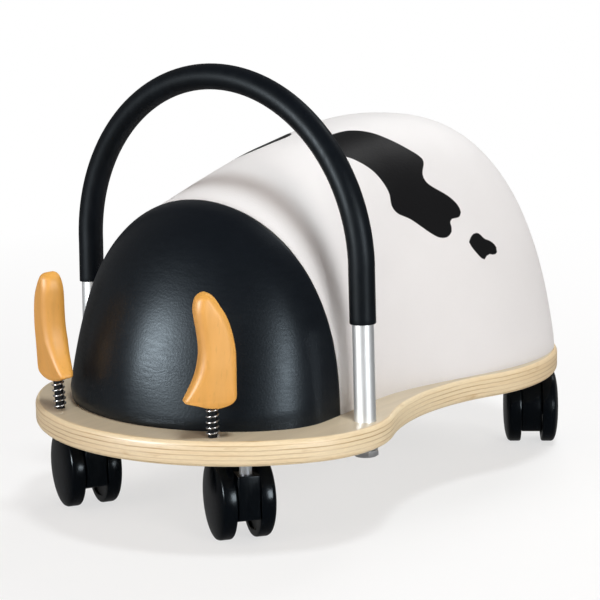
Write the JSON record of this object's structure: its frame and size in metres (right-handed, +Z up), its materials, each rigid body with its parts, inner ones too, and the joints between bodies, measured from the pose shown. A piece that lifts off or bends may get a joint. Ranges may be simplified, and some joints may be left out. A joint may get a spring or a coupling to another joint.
{
  "type": "ride-on cow",
  "caption": "Low ride-on cow: padded seat and head on a shaped plywood deck, hoop handle, sprung wooden horns and twin-wheel swivel casters.",
  "frame": {"origin": "on the floor under the middle of the deck", "axes": "+Z up; the cow looks along -Y; +X is its left side"},
  "size_m": [0.2428, 0.4004, 0.2742],
  "materials": {
    "plywood": "satin varnished birch plywood",
    "board": "plain plywood",
    "white_cover": "soft white leathercloth with black patches",
    "black_cover": "soft black leathercloth",
    "foam": "upholstery foam",
    "tube": "satin",
    "grip": "matt foam grip",
    "steel": "bright zinc plated",
    "horn": "gloss orange varnish",
    "post": "black rubber",
    "caster": "gloss black nylon"
  },
  "bodies": {
    "frame": {"deck": "plywood", "seat_board": "board", "seat_foam": "foam", "body_cover": "white_cover", "head_cover": "black_cover", "handle_tube": "tube", "handle_grip": "grip", "handle_plug_left": "steel", "handle_washer_left": "steel", "handle_bolt_left": "steel", "horn_nut_left": "steel", "handle_plug_right": "steel", "handle_washer_right": "steel", "handle_bolt_right": "steel", "horn_nut_right": "steel", "screw_head_left": "steel", "screw_head_right": "steel", "screw_waist_left": "steel", "screw_waist_right": "steel", "screw_rump_left": "steel", "screw_rump_right": "steel", "caster_front_left_socket": "steel", "caster_front_right_socket": "steel", "caster_rear_left_socket": "steel", "caster_rear_right_socket": "steel"},
    "front_left_fork": {"caster_front_left_pin": "steel", "caster_front_left_hood": "caster", "caster_front_left_axle": "steel"},
    "front_left_wheel_a": {"caster_front_left_wheel_a": "caster"},
    "front_left_wheel_b": {"caster_front_left_wheel_b": "caster"},
    "front_right_fork": {"caster_front_right_pin": "steel", "caster_front_right_hood": "caster", "caster_front_right_axle": "steel"},
    "front_right_wheel_a": {"caster_front_right_wheel_a": "caster"},
    "front_right_wheel_b": {"caster_front_right_wheel_b": "caster"},
    "rear_left_fork": {"caster_rear_left_pin": "steel", "caster_rear_left_hood": "caster", "caster_rear_left_axle": "steel"},
    "rear_left_wheel_a": {"caster_rear_left_wheel_a": "caster"},
    "rear_left_wheel_b": {"caster_rear_left_wheel_b": "caster"},
    "rear_right_fork": {"caster_rear_right_pin": "steel", "caster_rear_right_hood": "caster", "caster_rear_right_axle": "steel"},
    "rear_right_wheel_a": {"caster_rear_right_wheel_a": "caster"},
    "rear_right_wheel_b": {"caster_rear_right_wheel_b": "caster"},
    "horn_flex_left": {"horn_spring_left": "steel", "horn_post_left": "post"},
    "horn_board_left": {"horn_left": "horn"},
    "horn_flex_right": {"horn_spring_right": "steel", "horn_post_right": "post"},
    "horn_board_right": {"horn_right": "horn"}
  },
  "joints": [
    {"name": "front_left_swivel", "type": "hinge", "parent": "frame", "child": "front_left_fork", "pos_m": [0.0613, -0.14505, 0.0433], "axis": [0, 0, 1], "continuous": true},
    {"name": "front_left_wheel_a_spin", "type": "hinge", "parent": "front_left_fork", "child": "front_left_wheel_a", "pos_m": [0.04824, -0.1358, 0.025], "axis": [0.5779, 0.8161, 0], "continuous": true},
    {"name": "front_left_wheel_b_spin", "type": "hinge", "parent": "front_left_fork", "child": "front_left_wheel_b", "pos_m": [0.04824, -0.1358, 0.025], "axis": [0.5779, 0.8161, 0], "continuous": true},
    {"name": "front_right_swivel", "type": "hinge", "parent": "frame", "child": "front_right_fork", "pos_m": [-0.0613, -0.14505, 0.0433], "axis": [0, 0, 1], "continuous": true},
    {"name": "front_right_wheel_a_spin", "type": "hinge", "parent": "front_right_fork", "child": "front_right_wheel_a", "pos_m": [-0.0752, -0.13712, 0.025], "axis": [0.4955, 0.8686, 0], "continuous": true},
    {"name": "front_right_wheel_b_spin", "type": "hinge", "parent": "front_right_fork", "child": "front_right_wheel_b", "pos_m": [-0.0752, -0.13712, 0.025], "axis": [0.4955, 0.8686, 0], "continuous": true},
    {"name": "rear_left_swivel", "type": "hinge", "parent": "frame", "child": "rear_left_fork", "pos_m": [0.0624, 0.16565, 0.0433], "axis": [0, 0, 1], "continuous": true},
    {"name": "rear_left_wheel_a_spin", "type": "hinge", "parent": "rear_left_fork", "child": "rear_left_wheel_a", "pos_m": [0.07153, 0.15251, 0.025], "axis": [-0.8211, -0.5707, 0], "continuous": true},
    {"name": "rear_left_wheel_b_spin", "type": "hinge", "parent": "rear_left_fork", "child": "rear_left_wheel_b", "pos_m": [0.07153, 0.15251, 0.025], "axis": [-0.8211, -0.5707, 0], "continuous": true},
    {"name": "rear_right_swivel", "type": "hinge", "parent": "frame", "child": "rear_right_fork", "pos_m": [-0.0624, 0.16565, 0.0433], "axis": [0, 0, 1], "continuous": true},
    {"name": "rear_right_wheel_a_spin", "type": "hinge", "parent": "rear_right_fork", "child": "rear_right_wheel_a", "pos_m": [-0.05233, 0.15322, 0.025], "axis": [-0.7771, -0.6293, 0], "continuous": true},
    {"name": "rear_right_wheel_b_spin", "type": "hinge", "parent": "rear_right_fork", "child": "rear_right_wheel_b", "pos_m": [-0.05233, 0.15322, 0.025], "axis": [-0.7771, -0.6293, 0], "continuous": true},
    {"name": "horn_left_tilt", "type": "hinge", "parent": "frame", "child": "horn_flex_left", "pos_m": [0.06064, -0.17279, 0.07648], "axis": [0.8559, 0.5164, -0.0286], "range_deg": [-6, 35], "stiffness_Nm_per_rad": 0.2, "deforming": ["horn_spring_left", "horn_post_left"]},
    {"name": "horn_left_sway", "type": "hinge", "parent": "horn_flex_left", "child": "horn_board_left", "pos_m": [0.06099, -0.17303, 0.08247], "axis": [-0.514, 0.8554, 0.0636], "range_deg": [-30, 30], "stiffness_Nm_per_rad": 0.2, "deforming": ["horn_spring_left", "horn_post_left"]},
    {"name": "horn_right_tilt", "type": "hinge", "parent": "frame", "child": "horn_flex_right", "pos_m": [-0.06046, -0.17294, 0.07648], "axis": [-0.8575, 0.5144, 0.0108], "range_deg": [-35, 12], "stiffness_Nm_per_rad": 0.2, "deforming": ["horn_spring_right", "horn_post_right"]},
    {"name": "horn_right_sway", "type": "hinge", "parent": "horn_flex_right", "child": "horn_board_right", "pos_m": [-0.06062, -0.17333, 0.08247], "axis": [-0.5138, -0.8551, -0.0689], "range_deg": [-30, 30], "stiffness_Nm_per_rad": 0.2, "deforming": ["horn_spring_right", "horn_post_right"]}
  ]
}
